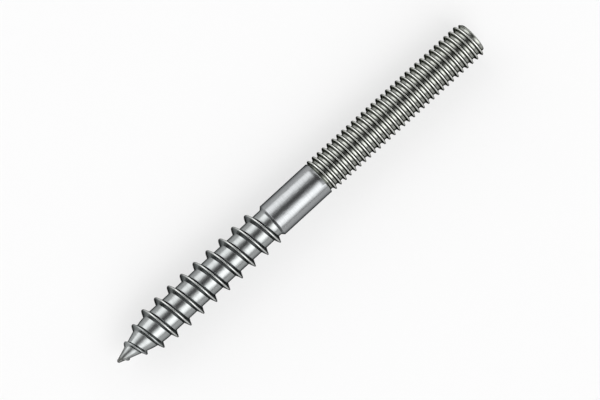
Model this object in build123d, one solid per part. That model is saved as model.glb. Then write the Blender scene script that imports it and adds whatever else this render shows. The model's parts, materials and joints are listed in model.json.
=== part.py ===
from build123d import *

import os
from math import ceil, cos, pi, radians, sin, tan

# A double-ended stud (hanger bolt), rolled and turned from one steel bar. It lies on its side
# along X, with its gimlet point towards -X and its M6 end towards +X. The origin is under the
# middle of its length, on the surface that it lies on. All sizes are in millimetres.

# Wood-screw end
wood_length = 30.9  # from the tip of the point to the chamfer of the shank
wood_pitch = 2.6
wood_root_diameter = 4.8
wood_thread_height = 0.96
ridge_base = 1.1  # width of the thread's ridge where it leaves the root
ridge_crest = 0.2  # width of the flat on top of it
point_angle = 37.5  # included angle of the gimlet point, under its thread
point_blend_radius = 12.0  # arc from the point's cone into the straight root
tip_radius = 0.2  # of the point's cone where it ends, chamfered at 45 degrees
tip_flat = 0.1  # radius of what the chamfer leaves of the end
point_thread_length = 8.1  # the ridge grows to its full size over this length
point_thread_power = 0.75  # under 1, it grows fastest at the tip
runout_turns = 0.4  # the last of the ridge, which fades into the root

# Bare shank between the two threads
shank_length = 10.0
shank_diameter = 5.64

# Machine-thread end, M6 x 1. The fine thread isn't cut: the blank has the crest diameter.
machine_length = 31.4  # from the shank to the end face
machine_diameter = 6.0
machine_runout = 0.3  # length of the slope between the shank and the thread's crests
collar_length = 0.6  # plain end, where the thread isn't rolled
collar_diameter = 5.2
collar_chamfer = 0.25

# How far it is rolled about its axis, to where its thread's crests hold it still as it lies
roll_angle = 348.0

# Sizes that follow
wood_root = wood_root_diameter / 2
wood_crest = wood_root + wood_thread_height
shank_radius = shank_diameter / 2
machine_radius = machine_diameter / 2
collar_radius = collar_diameter / 2
machine_start = wood_length + shank_length
overall_length = machine_start + machine_length
collar_start = overall_length - collar_length
thread_end = collar_start - (machine_radius - collar_radius)  # chamfered at 45 degrees
half_angle = radians(point_angle / 2)
runout_length = runout_turns * wood_pitch

rail_spans = 8  # spans of spline in one turn of the thread
faint = 0.02  # share of its full height that the ridge keeps where it has faded
needle = 0.1  # core radius ahead of the tip, which is cut away


def root_radius(x):
    """Radius of the wood end's core at x from the tip: a cone, an arc and a straight root."""
    cone_length = (wood_root - tip_radius) / tan(half_angle)
    arc_end = cone_length + point_blend_radius * tan(half_angle / 2)
    arc_start = arc_end - point_blend_radius * sin(half_angle)
    if x < arc_start:
        return max(tip_radius + x * tan(half_angle), needle)
    short = max(arc_end - x, 0)
    return wood_root - point_blend_radius + (point_blend_radius**2 - short**2) ** 0.5


def ridge_scale(turn):
    """The ridge's height after so many turns, as a share of its full height."""
    x = wood_pitch * turn
    grown = (max(x, 0) / point_thread_length) ** point_thread_power
    left = (wood_length - x) / runout_length
    return max(min(grown, left, 1), faint)


def helix_point(turn, aside, height):
    """A point after so many turns: aside of the ridge's middle, and height over the core."""
    scale = ridge_scale(turn)
    x = wood_pitch * turn + aside * scale**0.5  # a low ridge is still a broad one
    radius = root_radius(x) + height * scale
    return Vector(x, radius * cos(2 * pi * turn), radius * sin(2 * pi * turn))


def rail(turn, aside, height):
    """One turn of a helix, from the turn given, as a spline with the helix's own directions."""
    steps = [n / rail_spans for n in range(rail_spans + 1)]
    points = [helix_point(turn + step, aside, height) for step in steps]
    small = 1e-4
    directions = []
    for at in (turn, turn + 1):
        ahead = helix_point(at + small, aside, height)
        behind = helix_point(at - small, aside, height)
        directions.append((ahead - behind) / (2 * small))
    return Edge.make_spline(points, tangents=directions, parameters=steps, scale=False)


def end_wall(rim, turn, corners):
    """Closes the skin at one end: a ramp from the rim to the axis, and the step beside it."""
    low = rim @ 0
    high = rim @ 1
    axis = Edge.make_line((low.X, 0, 0), (high.X, 0, 0))
    ridge = [helix_point(turn, *corner) for corner in corners]
    step = Wire.make_polygon([low, *ridge, axis @ 1, axis @ 0], close=True)
    return [Face.make_surface_from_curves(rim, axis), Face(step)]


def threaded_bar():
    """The wood end's core and ridge in one skin: strips between the rails of each turn."""
    foot = ridge_base / 2
    brow = ridge_crest / 2
    corners = [(-foot, 0), (-brow, wood_thread_height), (brow, wood_thread_height), (foot, 0)]
    first_turn = -1
    last_turn = ceil(wood_length / wood_pitch) + 1
    behind = rail(first_turn - 1, foot, 0)
    faces = end_wall(behind, first_turn, corners)
    for turn in range(first_turn, last_turn):
        rails = [behind, *(rail(turn, *corner) for corner in corners)]
        faces += [Face.make_surface_from_curves(a, b) for a, b in zip(rails, rails[1:])]
        behind = rails[-1]
    faces += end_wall(behind, last_turn, corners)
    return Solid(Shell(faces))


def turned(outline):
    """A solid of revolution about the stud's axis, from the (x, radius) corners of its outline."""
    ends = [(outline[0][0], 0), *outline, (outline[-1][0], 0)]
    return revolve(Face(Wire.make_polygon(ends, close=True)), Axis.X)


def wood_end():
    """The threaded bar, cut off at the tip with a 45 degree chamfer."""
    clear = wood_crest + wood_thread_height
    far = wood_length + 4 * wood_pitch
    point = turned([(0, tip_flat), (clear - tip_flat, clear), (far, clear)])
    return threaded_bar() & point


def shank_and_machine_end():
    """The shank, chamfered at 45 degrees into the wood end's root, and the M6 blank."""
    chamfer = shank_radius - wood_root
    sunk = chamfer  # the chamfer starts as far inside the root as it stands out of it
    return turned(
        [
            (wood_length - sunk, wood_root - sunk),
            (wood_length + chamfer, shank_radius),
            (machine_start, shank_radius),
            (machine_start + machine_runout, machine_radius),
            (thread_end, machine_radius),
            (collar_start, collar_radius),
            (overall_length - collar_chamfer, collar_radius),
            (overall_length, collar_radius - collar_chamfer),
        ]
    )


stud = wood_end() + shank_and_machine_end()
stud = Pos(-overall_length / 2, 0, wood_crest) * Rot(roll_angle, 0, 0) * stud

os.makedirs("parts", exist_ok=True)
export_step(stud, "parts/stud.step")
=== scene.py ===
"""The looks of a double-ended stud: a coarse wood-screw thread and gimlet point at one end, a bare
shank, and an M6 thread at the other. One mesh skin, worked out from the threads' profiles, replaces
the CAD node, under a metal material, soft studio light and a camera that looks down on it."""

import json
from math import atan2, ceil, cos, inf, pi, radians, sin, sqrt, tan

import bpy
from mathutils import Matrix, Vector


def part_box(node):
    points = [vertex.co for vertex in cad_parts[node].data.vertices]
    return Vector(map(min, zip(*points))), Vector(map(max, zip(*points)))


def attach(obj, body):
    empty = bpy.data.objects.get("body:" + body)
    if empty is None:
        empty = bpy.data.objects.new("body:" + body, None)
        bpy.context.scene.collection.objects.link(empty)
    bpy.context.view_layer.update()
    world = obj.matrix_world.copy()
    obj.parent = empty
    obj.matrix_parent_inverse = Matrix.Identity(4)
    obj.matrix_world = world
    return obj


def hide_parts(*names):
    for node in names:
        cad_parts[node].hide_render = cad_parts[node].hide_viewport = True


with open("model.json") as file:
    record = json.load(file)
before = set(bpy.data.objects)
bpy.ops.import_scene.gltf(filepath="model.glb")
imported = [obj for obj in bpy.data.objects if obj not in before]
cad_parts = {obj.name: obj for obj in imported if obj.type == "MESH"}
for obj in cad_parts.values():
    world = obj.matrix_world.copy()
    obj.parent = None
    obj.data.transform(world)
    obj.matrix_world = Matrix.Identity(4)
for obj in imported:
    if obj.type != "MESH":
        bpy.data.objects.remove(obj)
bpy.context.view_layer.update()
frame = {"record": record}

MM = 0.001
TAU = 2 * pi

# ---------------------------------------------------------------- sizes, in millimetres
# The frame gives the reach, the wood end's length and the crests' radii. The rest repeats the
# part's values, or shapes what only the looks have.
mounts = {mount["name"]: mount for mount in frame["record"]["mounts"]}
low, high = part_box("stud")

overall_length = (high.x - low.x) / MM
tip_x = low.x / MM
axis_height = mounts["wood_thread"]["pos_m"][2] / MM
roll_angle = radians(348)

wood_length = mounts["wood_thread"]["dims"]["length_mm"]
wood_crest = mounts["wood_thread"]["dims"]["r_mm"]
wood_height = 0.96
wood_root = wood_crest - wood_height
wood_pitch = 2.6
wood_runout = 0.4 * wood_pitch  # where the ridge fades into the root, before the shank
wood_flank = radians(23)  # from the plane across the axis
wood_crest_round = 0.14
wood_foot_round = 0.08

point_slope = tan(radians(37.5 / 2))
point_blend = 12.0  # radius of the arc between the point's cone and the straight root
tip_radius = 0.2
tip_flat = 0.1
point_thread_length = 8.1  # the ridge reaches its full height this far from the tip
point_thread_power = 0.75

shank_length = 10.0
shank_radius = 2.82
shank_chamfer = shank_radius - wood_root  # the 45 degree shoulder
shoulder_round = 0.08

machine_start = wood_length + shank_length
machine_crest = mounts["machine_thread"]["dims"]["r_mm"]
machine_depth = 0.53
machine_root = machine_crest - machine_depth
machine_pitch = 1.0
machine_phase = 0.2  # turns from where the wood thread's ridge starts
machine_flank = radians(24)
machine_crest_round = 0.12
machine_foot_round = 0.10
thread_start = machine_start - 0.3
machine_runout = 0.35
end_radius = 2.4  # of the flat end face, inside its 45 degree chamfer
end_chamfer_round = 0.06

# How finely the skin is divided. Gaps are the widest and the closest between points on a line.
COLUMNS = 96  # lines of points round the stud
CREST_STEPS = 3
FLANK_STEPS = 3
FOOT_STEPS = 4
TIP_PLACES = (0.0, 0.02, 0.05, 0.1, 0.16, 0.24, 0.33)
WOOD_GAPS = (0.36, 0.006)
WOOD_MARGIN = 0.05  # kept free before the shoulder
SHOULDER_STEPS = 6
SHOULDER_PLACES = (0.03, 0.08, 0.2)  # past the shoulder
SHANK_STEPS = 12
THREAD_GAPS = (0.2, 0.004)
THREAD_MARGINS = (0.03, 0.02)  # kept free at the shank and at the end face
CHAMFER_PLACES = (0.1, 0.05)  # before the end face
END_FACE_SHARES = (0.98, 0.85, 0.6, 0.3)  # rings on the end face, as shares of its radius
FAINTEST_SHAPED = 0.01  # a ridge under this share of its size is left out
FAINTEST_SAMPLED = 0.04  # and one under this share gets no points of its own
STEP_SLACK = 0.001  # lets a gap be this share of a step too wide
PAIRED_SHARE = 0.6  # steps on two lines are paired while they slip by less than this share of one


# ---------------------------------------------------------------- thread profiles
class Ridge:
    """A thread's section: a rounded crest, straight flanks, and rounded feet on a flat root."""

    def __init__(self, height, flank, crest_round, foot_round):
        self.height = height
        self.flank = flank
        self.crest_round = crest_round
        self.foot_round = foot_round
        self.crest_edge = crest_round * cos(flank)
        self.foot = (height - crest_round) * tan(flank) + crest_round / cos(flank)
        self.foot_centre = self.foot + foot_round * (1 - sin(flank)) / cos(flank)
        self.foot_edge = self.foot_centre - foot_round * cos(flank)

    def rise(self, aside):
        """Height over the root at a distance from the ridge's middle."""
        aside = abs(aside)
        if aside < self.crest_edge:
            return self.height - self.crest_round + sqrt(self.crest_round**2 - aside**2)
        if aside < self.foot_edge:
            return (self.foot - aside) / tan(self.flank)
        if aside < self.foot_centre:
            return self.foot_round - sqrt(self.foot_round**2 - (self.foot_centre - aside) ** 2)
        return 0.0

    def stations(self):
        """The distances from the ridge's middle that its section needs."""
        turn = pi / 2 - self.flank
        crest = [
            self.crest_round * sin(turn * n / CREST_STEPS) for n in range(-CREST_STEPS, CREST_STEPS + 1)
        ]
        flank_width = self.foot_edge - self.crest_edge
        side = [self.crest_edge + flank_width * n / FLANK_STEPS for n in range(1, FLANK_STEPS)]
        for n in range(FOOT_STEPS + 1):
            side.append(self.foot_centre - self.foot_round * sin(turn * (1 - n / FOOT_STEPS)))
        return [-x for x in reversed(side)] + crest + side


wood = Ridge(wood_height, wood_flank, wood_crest_round, wood_foot_round)
machine = Ridge(machine_depth, machine_flank, machine_crest_round, machine_foot_round)


def blend_max(a, b, width):
    """The larger of two heights, with the crease between them rounded."""
    gap = max(width - abs(a - b), 0) / width
    return max(a, b) + gap * gap * width / 4


def wood_core(x):
    """Radius under the wood thread: a rounded tip, a cone, an arc and a straight root."""
    half = atan2(point_slope, 1)
    arc_end = (wood_root - tip_radius) / point_slope + point_blend * tan(half / 2)
    arc_start = arc_end - point_blend * sin(half)
    if x < arc_start:
        return tip_radius + x * point_slope
    short = max(arc_end - x, 0)
    return wood_root - point_blend + sqrt(point_blend**2 - short**2)


def wood_scale(x):
    """The wood ridge's size, as a share of its full size, where its middle is at x."""
    grown = (max(x, 0) / point_thread_length) ** point_thread_power
    left = (wood_length - x) / wood_runout
    return max(min(grown, left, 1), 0)


def wood_radius(x, phase):
    """Radius of the wood end at x, at so many turns round from where the ridge starts."""
    turn = round(x / wood_pitch - phase)
    best = 0.0
    for k in (turn - 1, turn, turn + 1):
        middle = wood_pitch * (k + phase)
        scale = wood_scale(middle)
        if scale > FAINTEST_SHAPED:
            best = max(best, scale * wood.rise((x - middle) / sqrt(scale)))
    return min(wood_core(x) + best, tip_flat + x)


def machine_radius(x, phase):
    """Radius of the M6 end at x, at so many turns round."""
    along = (x - machine_start) / machine_pitch - phase - machine_phase
    aside = (along - round(along)) * machine_pitch
    thread = machine_root + machine.rise(aside)
    grown = min(max((x - thread_start) / machine_runout, 0), 1)
    radius = shank_radius + (thread - shank_radius) * grown
    chamfer = end_radius + overall_length - x
    return -blend_max(-radius, -chamfer, end_chamfer_round)


def radius_at(x, phase):
    """Radius of the stud at x from the tip, at so many turns round."""
    if x < wood_length + shank_chamfer:
        shoulder = wood_root + (x - wood_length)
        return blend_max(wood_radius(min(x, wood_length), phase), shoulder, shoulder_round)
    if x < thread_start:
        return shank_radius
    return machine_radius(x, phase)


# ---------------------------------------------------------------- the skin
def filled(places, gaps):
    """Sorted places without near doubles, with more put in where the gaps are too wide."""
    widest, closest = gaps
    kept = []
    for place in sorted(places):
        if not kept or place - kept[-1] >= closest:
            kept.append(place)
    full = [kept[0]]
    for place in kept[1:]:
        start = full[-1]
        steps = max(ceil((place - start) / widest - STEP_SLACK), 1)
        full += [start + (place - start) * n / steps for n in range(1, steps + 1)]
    return full


def wood_places(phase):
    """Where one line of the skin has points, from the tip to just before the shoulder."""
    places = list(TIP_PLACES)
    turns = int(wood_length / wood_pitch) + 1
    for k in range(-1, turns + 1):
        middle = wood_pitch * (k + phase)
        scale = wood_scale(middle)
        if scale >= FAINTEST_SAMPLED:
            places += [middle + aside * sqrt(scale) for aside in wood.stations()]
    return filled([x for x in places if 0 <= x < wood_length - WOOD_MARGIN], WOOD_GAPS)


def shank_places():
    """From the foot of the shoulder to where the M6 thread starts."""
    shoulder_end = wood_length + shank_chamfer
    places = [wood_length + shank_chamfer * n / SHOULDER_STEPS for n in range(-1, SHOULDER_STEPS + 1)]
    places += [shoulder_end + past for past in SHOULDER_PLACES]
    first = places[-1]
    return places + [first + (thread_start - first) * n / SHANK_STEPS for n in range(1, SHANK_STEPS + 1)]


def machine_places(phase):
    """Along the M6 thread, up to the end face."""
    places = [thread_start + machine_runout]
    places += [overall_length - short for short in CHAMFER_PLACES]
    turns = int((overall_length - machine_start) / machine_pitch) + 1
    for k in range(-1, turns + 1):
        middle = machine_start + machine_pitch * (k + phase + machine_phase)
        places += [middle + aside for aside in machine.stations()]
    first = thread_start + THREAD_MARGINS[0]
    last = overall_length - THREAD_MARGINS[1]
    return filled([x for x in places if first < x < last], THREAD_GAPS)


def column(phase):
    """(way along the skin, x, radius) for one line of the skin, from the tip to the end's middle."""
    places = wood_places(phase) + shank_places() + machine_places(phase) + [overall_length]
    samples = [(x, x, radius_at(x, phase)) for x in places]
    rim = samples[-1][2]
    for share in END_FACE_SHARES:
        samples.append((overall_length + rim * (1 - share), overall_length, rim * share))
    return samples


def strip(a, b, first_a, first_b):
    """Faces between two neighbouring lines of points, whose points needn't match one to one."""
    faces = []
    i = 0
    j = 0
    while i < len(a) - 1 or j < len(b) - 1:
        here_a = a[i][0]
        here_b = b[j][0]
        next_a = a[i + 1][0] if i < len(a) - 1 else inf
        next_b = b[j + 1][0] if j < len(b) - 1 else inf
        both_go_on = next_a < inf and next_b < inf
        slip = abs((next_a - next_b) - (here_a - here_b)) if both_go_on else inf
        if both_go_on and slip < PAIRED_SHARE * min(next_a - here_a, next_b - here_b):
            faces.append((first_a + i, first_b + j, first_b + j + 1, first_a + i + 1))
            i += 1
            j += 1
        elif abs(next_a - here_b) < abs(next_b - here_a):
            faces.append((first_a + i, first_b + j, first_a + i + 1))
            i += 1
        else:
            faces.append((first_a + i, first_b + j, first_b + j + 1))
            j += 1
    return faces


def skin():
    """One closed mesh for the whole stud: lines of points from the tip to the end face's middle."""
    lines = [column(n / COLUMNS) for n in range(COLUMNS)]
    vertices = [(tip_x, 0.0, 0.0)]
    starts = []
    for n, line in enumerate(lines):
        angle = TAU * n / COLUMNS + roll_angle
        starts.append(len(vertices))
        for _, x, radius in line:
            vertices.append((tip_x + x, radius * cos(angle), radius * sin(angle)))
    end_middle = len(vertices)
    vertices.append((tip_x + overall_length, 0.0, 0.0))
    faces = []
    for n in range(COLUMNS):
        m = (n + 1) % COLUMNS
        faces.append((0, starts[m], starts[n]))
        faces += strip(lines[n], lines[m], starts[n], starts[m])
        faces.append((starts[n] + len(lines[n]) - 1, starts[m] + len(lines[m]) - 1, end_middle))
    places = [(x * MM, y * MM, (z + axis_height) * MM) for x, y, z in vertices]
    return smooth_object("stud_skin", places, faces)


def smooth_object(name, vertices, faces):
    """A smooth-shaded mesh object in the scene, from vertices in metres."""
    mesh = bpy.data.meshes.new(name)
    mesh.from_pydata(vertices, [], faces)
    mesh.shade_smooth()
    made = bpy.data.objects.new(name, mesh)
    bpy.context.scene.collection.objects.link(made)
    return made


# ---------------------------------------------------------------- shader nodes
class Nodes:
    """Adds nodes to one shader tree. A value is a number, a tuple or another node's output."""

    def __init__(self, tree):
        self.tree = tree

    def add(self, kind):
        return self.tree.nodes.new(kind)

    def put(self, value, socket):
        if isinstance(value, bpy.types.NodeSocket):
            self.tree.links.new(value, socket)
        else:
            socket.default_value = value

    def math(self, operation, *values):
        node = self.add("ShaderNodeMath")
        node.operation = operation
        for value, socket in zip(values, node.inputs):
            self.put(value, socket)
        return node.outputs[0]

    def spread(self, value, start, end, to_start=0.0, to_end=1.0):
        """A value's way from start to end, mapped to the way from to_start to to_end and held there."""
        node = self.add("ShaderNodeMapRange")
        self.put(value, node.inputs["Value"])
        self.put(start, node.inputs["From Min"])
        self.put(end, node.inputs["From Max"])
        self.put(to_start, node.inputs["To Min"])
        self.put(to_end, node.inputs["To Max"])
        return node.outputs[0]

    def blend(self, factor, a, b):
        """Colour a, going over into colour b while the factor goes from 0 to 1."""
        node = self.add("ShaderNodeMix")
        node.data_type = "RGBA"
        self.put(factor, node.inputs["Factor"])
        self.put(a, node.inputs["A"])
        self.put(b, node.inputs["B"])
        return node.outputs["Result"]

    def split(self, vector):
        node = self.add("ShaderNodeSeparateXYZ")
        self.put(vector, node.inputs[0])
        return tuple(node.outputs)

    def join(self, *values):
        node = self.add("ShaderNodeCombineXYZ")
        for value, socket in zip(values, node.inputs):
            self.put(value, socket)
        return node.outputs[0]

    def noise(self, place, stretch, size, detail):
        """Noise with marks of about a size, in metres, at a place scaled by a stretch."""
        mapping = self.add("ShaderNodeMapping")
        self.put(place, mapping.inputs["Vector"])
        self.put(stretch, mapping.inputs["Scale"])
        texture = self.add("ShaderNodeTexNoise")
        self.put(mapping.outputs[0], texture.inputs["Vector"])
        self.put(1 / size, texture.inputs["Scale"])
        self.put(detail, texture.inputs["Detail"])
        return texture.outputs["Fac"]


def new_material(name):
    """A material with its nodes and its main shader."""
    material = bpy.data.materials.new(name)
    material.use_nodes = True
    return material, Nodes(material.node_tree), material.node_tree.nodes["Principled BSDF"]


# ---------------------------------------------------------------- steel
WOOD_ROOT = (0.320, 0.333, 0.333, 1)
WOOD_RIDGE = (0.32, 0.334, 0.332, 1)
# Painted highlight: the wood crests are painted much lighter than the root, as bright crest lines.
WOOD_CREST_HIGHLIGHT = (0.50, 0.51, 0.50, 1)
# Painted shade: the point's last few millimetres are painted much darker than the rest of the steel.
POINT_SHADE = (0.12, 0.122, 0.116, 1)
SHANK_COLOUR = (0.315, 0.3245, 0.331, 1)
THREAD_ROOT = (0.310, 0.319, 0.295, 1)
# Painted shade: the M6 flanks are painted darker than the root, as a groove's shade.
THREAD_FLANK_SHADE = (0.275, 0.284, 0.262, 1)
# Painted highlight: the M6 crests are painted about twice as light as the root, as bright crest lines.
THREAD_CREST_HIGHLIGHT = (0.62, 0.63, 0.60, 1)

# Where one tone goes over into the next, in millimetres along the stud or out from its axis.
POINT_SHADE_FADE = (0.4, 2.6)
WOOD_RIDGE_FADE = (wood_root + 0.1, wood_root + 0.55)
WOOD_CREST_HIGHLIGHT_FADE = (wood_crest - 0.12, wood_crest - 0.02)
SHANK_FADE = (wood_length - 0.2, wood_length + 0.3)
THREAD_FADE = (thread_start - 0.1, thread_start + 0.3)
THREAD_FLANK_SHADE_FADE = (machine_root + 0.03, machine_root + 0.13)
THREAD_CREST_HIGHLIGHT_FADE = (machine_crest - 0.12, machine_crest - 0.025)
END_FADE = (overall_length - 0.3, overall_length - 0.05)

ROUGHNESS = (0.2, 0.26)  # from the glossiest clouds to the dullest
CLOUD_RANGE = (0.3, 0.7)
CLOUD_SIZE = 4.0
CLOUD_DETAIL = 3
THREAD_GLOSS = 0.1  # taken off the roughness on the M6 thread
TURNING_SIZE = 0.25
TURNING_STRETCH = (1, 0.04, 0.04)
TURNING_DETAIL = 3
UNEVEN_SIZE = 0.5
UNEVEN_STRETCH = (0.6, 1, 1)
UNEVEN_DETAIL = 1
UNEVEN_SHARE = (1.2, 0.3)  # of the turning lines' height, along the stud and on its end face
RELIEF_HEIGHT = 0.012


class Steel:
    """Bright rolled and turned steel, whose tones follow the threads, with painted highlights on the
    crests and painted shade on the M6 flanks and at the point.
    """

    def __init__(self):
        self.material, self.nodes, shader = new_material("bright_steel")
        nodes = self.nodes
        self.place = nodes.add("ShaderNodeTexCoord").outputs["Object"]
        self.x, self.y, self.z = nodes.split(self.place)
        height = nodes.math("SUBTRACT", self.z, axis_height * MM)
        squares = [nodes.math("MULTIPLY", part, part) for part in (self.y, height)]
        self.radius = nodes.math("SQRT", nodes.math("ADD", *squares))
        self.on_thread = self.along(THREAD_FADE)
        nodes.put(1.0, shader.inputs["Metallic"])
        nodes.put((0, 0, 0, 1), shader.inputs["Specular Tint"])
        nodes.put(self.colour(), shader.inputs["Base Color"])
        nodes.put(self.roughness(), shader.inputs["Roughness"])
        nodes.put(self.relief(), shader.inputs["Normal"])

    def along(self, fade, *ends):
        """0 to 1, or between two ends, over a fade along the stud."""
        start, end = fade
        return self.nodes.spread(self.x, (tip_x + start) * MM, (tip_x + end) * MM, *ends)

    def outwards(self, fade):
        """0 to 1 over a fade outwards from the stud's axis."""
        start, end = fade
        return self.nodes.spread(self.radius, start * MM, end * MM)

    def colour(self):
        blend = self.nodes.blend
        wood_steel_and_painted_light = blend(self.outwards(WOOD_RIDGE_FADE), WOOD_ROOT, WOOD_RIDGE)
        # Painted highlight: the wood crests are blended to a much lighter tone.
        wood_steel_and_painted_light = blend(self.outwards(WOOD_CREST_HIGHLIGHT_FADE), wood_steel_and_painted_light, WOOD_CREST_HIGHLIGHT)
        # Painted shade: the point is blended to a much darker tone.
        wood_steel_and_painted_light = blend(self.along(POINT_SHADE_FADE), POINT_SHADE, wood_steel_and_painted_light)
        # Painted shade: the M6 flanks are blended to a darker tone.
        thread_steel_and_painted_light = blend(self.outwards(THREAD_FLANK_SHADE_FADE), THREAD_ROOT, THREAD_FLANK_SHADE)
        # Painted highlight: the M6 crests are blended to a much lighter tone.
        thread_steel_and_painted_light = blend(self.outwards(THREAD_CREST_HIGHLIGHT_FADE), thread_steel_and_painted_light, THREAD_CREST_HIGHLIGHT)
        plain_steel = blend(self.along(SHANK_FADE), wood_steel_and_painted_light, SHANK_COLOUR)
        return blend(self.on_thread, plain_steel, thread_steel_and_painted_light)

    def roughness(self):
        nodes = self.nodes
        cloud = nodes.noise(self.place, (1, 1, 1), CLOUD_SIZE * MM, CLOUD_DETAIL)
        rough = nodes.spread(cloud, *CLOUD_RANGE, *ROUGHNESS)
        return nodes.math("SUBTRACT", rough, nodes.math("MULTIPLY", self.on_thread, THREAD_GLOSS))

    def relief(self):
        """Fine turning lines round the stud, in rings on its end face, over a slight unevenness."""
        nodes = self.nodes
        turned = nodes.join(nodes.math("SUBTRACT", self.x, self.radius), self.y, self.z)
        lines = nodes.noise(turned, TURNING_STRETCH, TURNING_SIZE * MM, TURNING_DETAIL)
        uneven = nodes.noise(self.place, UNEVEN_STRETCH, UNEVEN_SIZE * MM, UNEVEN_DETAIL)
        uneven = nodes.math("MULTIPLY", uneven, self.along(END_FADE, *UNEVEN_SHARE))
        bump = nodes.add("ShaderNodeBump")
        nodes.put(1.0, bump.inputs["Strength"])
        nodes.put(RELIEF_HEIGHT * MM, bump.inputs["Distance"])
        nodes.put(nodes.math("ADD", lines, uneven), bump.inputs["Height"])
        return bump.outputs[0]


stud = skin()
stud.data.materials.append(Steel().material)
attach(stud, "root")
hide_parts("stud")


# ---------------------------------------------------------------- floor
FLOOR_FLAT = 1.5  # in metres, out from the middle
FLOOR_CURVE = 0.6
FLOOR_SLOPE = radians(35)
FLOOR_RIM = 0.25
FLOOR_STEPS = 8
FLOOR_SIDES = 64
PAPER_COLOUR = (0.78, 0.78, 0.78, 1)
PAPER_ROUGHNESS = 0.9
PAPER_SHEEN = 0.1
PAPER_WHITE = 0.985
PAPER_WHITE_SHARE = 0.6  # the rest of what the camera and the metal see is lit paper, with its shadow


def floor_paper():
    material, nodes, shader = new_material("floor_paper")
    nodes.put(PAPER_COLOUR, shader.inputs["Base Color"])
    nodes.put(PAPER_ROUGHNESS, shader.inputs["Roughness"])
    nodes.put(PAPER_SHEEN, shader.inputs["Specular IOR Level"])
    path = nodes.add("ShaderNodeLightPath").outputs
    seen = nodes.math("MAXIMUM", path["Is Camera Ray"], path["Is Glossy Ray"])
    white = nodes.add("ShaderNodeEmission")
    nodes.put(PAPER_WHITE, white.inputs["Strength"])
    mix = nodes.add("ShaderNodeMixShader")
    nodes.put(nodes.math("MULTIPLY", seen, PAPER_WHITE_SHARE), mix.inputs[0])
    nodes.put(shader.outputs[0], mix.inputs[1])
    nodes.put(white.outputs[0], mix.inputs[2])
    nodes.put(mix.outputs[0], nodes.tree.nodes["Material Output"].inputs["Surface"])
    return material


def floor_rings():
    """(reach, height) of each ring of the floor, outwards."""
    rings = [(FLOOR_FLAT / 2, 0.0), (FLOOR_FLAT, 0.0)]
    for n in range(1, FLOOR_STEPS + 1):
        tilt = FLOOR_SLOPE * n / FLOOR_STEPS
        rings.append((FLOOR_FLAT + FLOOR_CURVE * sin(tilt), FLOOR_CURVE * (1 - cos(tilt))))
    reach, height = rings[-1]
    rings.append((reach + FLOOR_RIM * cos(FLOOR_SLOPE), height + FLOOR_RIM * sin(FLOOR_SLOPE)))
    return rings


def plain_floor():
    """A plain pale floor that curves up gently far away, so that it is behind the stud in every view."""
    rings = floor_rings()
    vertices = [(0, 0, 0)]
    for reach, height in rings:
        for n in range(FLOOR_SIDES):
            angle = TAU * n / FLOOR_SIDES
            vertices.append((reach * cos(angle), reach * sin(angle), height))
    faces = [(0, n + 1, (n + 1) % FLOOR_SIDES + 1) for n in range(FLOOR_SIDES)]
    for ring in range(len(rings) - 1):
        inner = ring * FLOOR_SIDES + 1
        outer = inner + FLOOR_SIDES
        for n in range(FLOOR_SIDES):
            m = (n + 1) % FLOOR_SIDES
            faces.append((inner + n, outer + n, outer + m, inner + m))
    floor = smooth_object("floor", vertices, faces)
    floor.data.materials.append(floor_paper())


plain_floor()


# ---------------------------------------------------------------- light
ROOM_LEVEL = 0.06
LONG_EDGE_POWER = 3  # the higher, the sharper the panel's edge
SHORT_EDGE_POWER = 4
FRONT_GAIN = 4  # cuts off a panel's twin on the far side of the room


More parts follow.
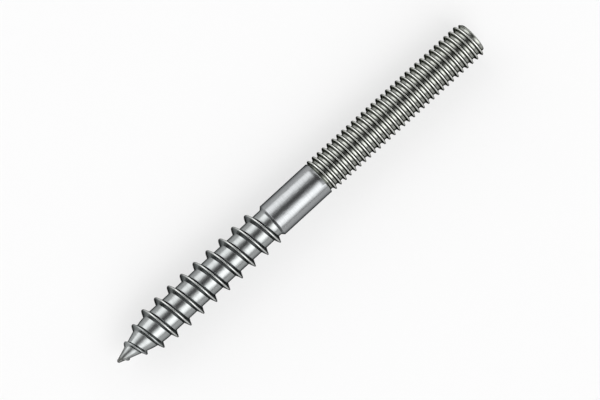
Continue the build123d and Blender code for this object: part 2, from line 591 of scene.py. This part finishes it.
class Studio:
    """The room round the stud: a dim world with soft light panels far away."""

    def __init__(self):
        world = bpy.data.worlds.new("studio")
        world.use_nodes = True
        bpy.context.scene.world = world
        self.nodes = Nodes(world.node_tree)
        self.way = self.nodes.add("ShaderNodeTexCoord").outputs["Generated"]
        self.level = ROOM_LEVEL

    def cosine(self, direction):
        """How far a look into the room points along a direction."""
        node = self.nodes.add("ShaderNodeVectorMath")
        node.operation = "DOT_PRODUCT"
        self.nodes.put(self.way, node.inputs[0])
        self.nodes.put(direction, node.inputs[1])
        return node.outputs["Value"]

    def falloff(self, offset, middle, half, power):
        """1 near the middle of a panel, falling softly past half its width."""
        math = self.nodes.math
        share = math("ABSOLUTE", math("DIVIDE", math("SUBTRACT", offset, middle), half))
        return math("EXPONENT", math("MULTIPLY", math("POWER", share, power), -1))

    def panel(self, side, tilts, ends, radiance):
        """A soft box on one side, between two tilts from overhead and two angles along it, in degrees."""
        math = self.nodes.math
        side = Vector(side)
        up = Vector((0, 0, 1))
        tilt = radians(sum(tilts) / 2)
        half_width = sin(radians(tilts[1] - tilts[0]) / 2)
        start, end = (sin(radians(angle)) for angle in ends)
        aside = self.cosine(cos(tilt) * side - sin(tilt) * up)
        ahead = self.cosine(sin(tilt) * side + cos(tilt) * up)
        lengthways = self.cosine((abs(side.y), abs(side.x), 0))
        across = self.falloff(aside, 0, half_width, LONG_EDGE_POWER)
        along = self.falloff(lengthways, (start + end) / 2, (end - start) / 2, SHORT_EDGE_POWER)
        in_front = math("MULTIPLY", ahead, FRONT_GAIN)
        in_front.node.use_clamp = True
        level = math("MULTIPLY", math("MULTIPLY", math("MULTIPLY", across, along), in_front), radiance)
        self.level = math("ADD", self.level, level)

    def finish(self):
        background = self.nodes.tree.nodes["Background"]
        self.nodes.put((1, 1, 1, 1), background.inputs["Color"])
        self.nodes.put(self.level, background.inputs["Strength"])


studio = Studio()
studio.panel(side=(0, -1, 0), tilts=(17, 72), ends=(-38, 20), radiance=3.45)
studio.panel(side=(0, 1, 0), tilts=(32, 91), ends=(-38, 20), radiance=2.6)
studio.panel(side=(1, 0, 0), tilts=(48, 76), ends=(-45, 45), radiance=2.4)
studio.panel(side=(-1, 0, 0), tilts=(56, 88), ends=(-55, 55), radiance=1.6)
studio.finish()


# ---------------------------------------------------------------- camera
VIEW_TURN = radians(-42.5)  # so that the stud climbs to the right across the picture
VIEW_LEAN = radians(6.5)  # the camera stands a little towards the point
VIEW_WIDTH = 89.552 * MM  # what the picture spans at the stud
CAMERA_DISTANCE = 0.6
CAMERA_RIGHT = 0.55 * MM  # from the stud's middle
CAMERA_UP = -0.21 * MM
NEAREST_SEEN = 0.01


def look_down():
    """A long lens that looks down on the stud, as it lies."""
    camera_data = bpy.data.cameras.new("camera")
    camera_data.lens = camera_data.sensor_width * CAMERA_DISTANCE / VIEW_WIDTH
    camera_data.clip_start = NEAREST_SEEN
    camera = bpy.data.objects.new("camera", camera_data)
    bpy.context.scene.collection.objects.link(camera)
    turn = Matrix.Rotation(-VIEW_LEAN, 3, "Y") @ Matrix.Rotation(VIEW_TURN, 3, "Z")
    right, up, back = turn.col
    middle = Vector(((low.x + high.x) / 2, 0, axis_height * MM))
    target = middle + CAMERA_RIGHT * right + CAMERA_UP * up
    camera.location = target + CAMERA_DISTANCE * back
    camera.rotation_euler = turn.to_euler()
    bpy.context.scene.camera = camera


look_down()

bpy.context.scene.view_settings.view_transform = "Standard"
